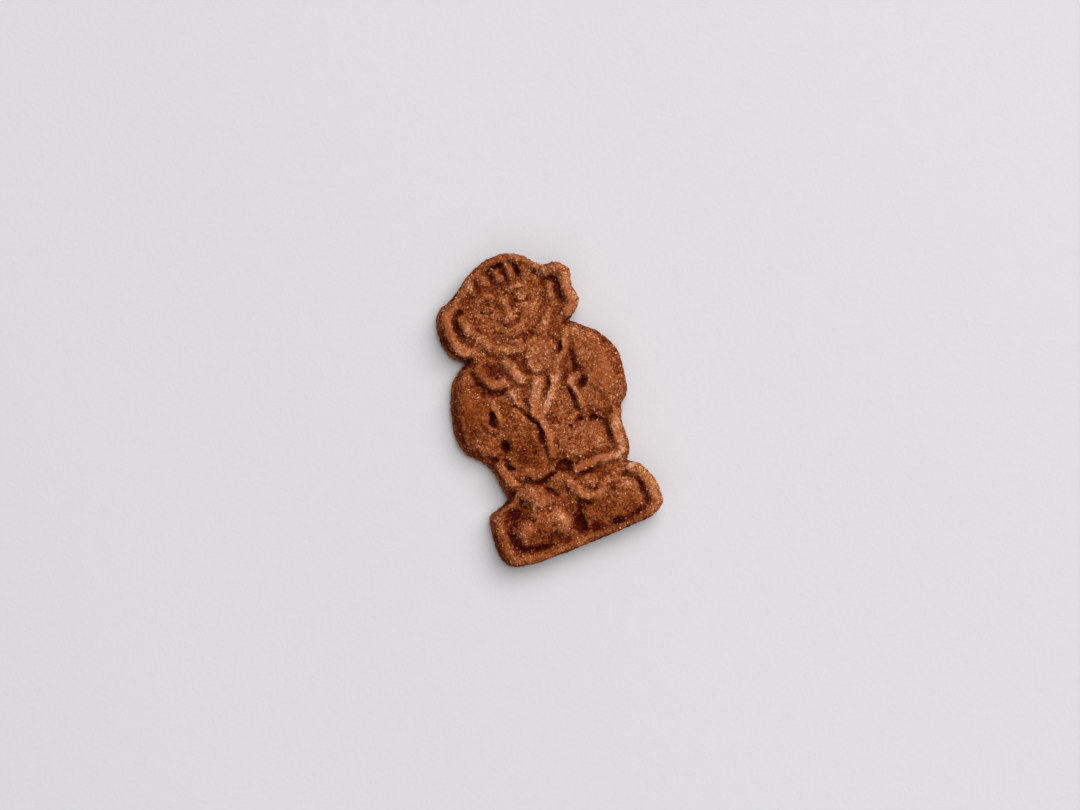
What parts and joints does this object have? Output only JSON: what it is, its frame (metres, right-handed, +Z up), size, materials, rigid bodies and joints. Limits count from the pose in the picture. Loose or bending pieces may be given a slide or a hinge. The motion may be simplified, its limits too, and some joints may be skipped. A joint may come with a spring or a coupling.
{
  "type": "moulded speculaas biscuit",
  "caption": "Small moulded spiced biscuit in relief: a standing little man with round ears, in a coat with wide lapels, with the hands in its pockets, on a plinth.",
  "frame": {"origin": "on the flat back, under the middle of the biscuit's outline", "axes": "+X to the figure's own left, +Y from the plinth to the crown of the head, +Z up, out of the moulded face"},
  "size_m": [0.0369, 0.0603, 0.0065],
  "materials": {
    "baked_speculaas": "matt granular baked dough, smoother and slightly glossy on the raised lines"
  },
  "bodies": {
    "root": {"cookie": "baked_speculaas"}
  },
  "joints": []
}
